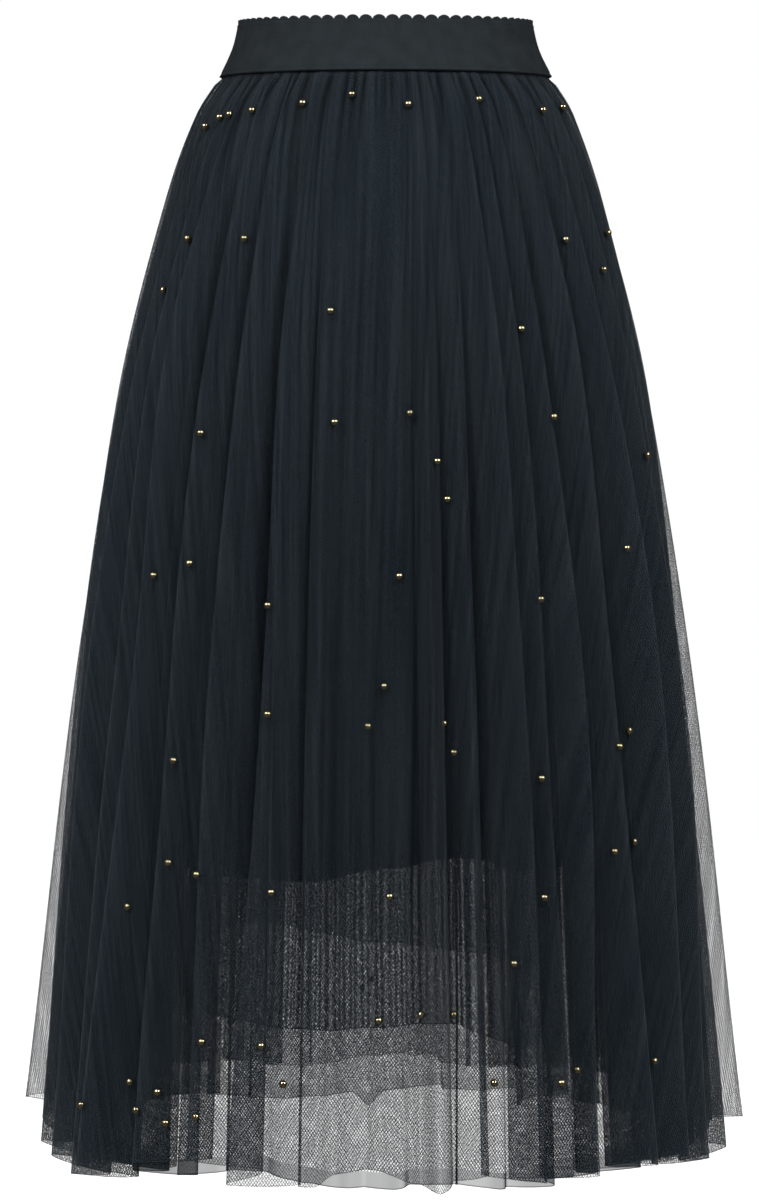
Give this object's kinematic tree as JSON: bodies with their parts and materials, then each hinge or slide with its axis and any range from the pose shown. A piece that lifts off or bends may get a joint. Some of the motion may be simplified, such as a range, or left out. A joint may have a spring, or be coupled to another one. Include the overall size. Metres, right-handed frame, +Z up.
{
  "type": "tulle midi skirt",
  "caption": "Worn, hollow midi skirt: gold-beaded outer tulle, longer under tulle, crinkled voile and slim lining gathered into a wide scalloped elastic waistband.",
  "frame": {"origin": "the middle of the waist opening, 4 mm below the height of the waistband's middle at the sides, where the wearer holds the skirt up", "axes": "+Z up from the hem to the waist, -Y towards the front of the wearer, +X to the right as seen from the front"},
  "size_m": [0.55, 0.5196, 0.8817],
  "materials": {
    "waistband": "matt ribbed elastic, near-black navy",
    "outer_tulle": "fine see-through net, near-black navy",
    "under_tulle": "fine see-through net, near-black navy",
    "voile": "semi-sheer crinkled voile, near-black navy",
    "lining": "smooth opaque lining, near-black navy",
    "beads": "polished gold-coloured balls"
  },
  "bodies": {
    "root": {"waistband": "waistband", "outer_tulle_front": "outer_tulle", "outer_tulle_back": "outer_tulle", "under_tulle_front": "under_tulle", "under_tulle_back": "under_tulle", "voile_front": "voile", "voile_back": "voile", "lining_front": "lining", "lining_back": "lining"}
  },
  "joints": []
}
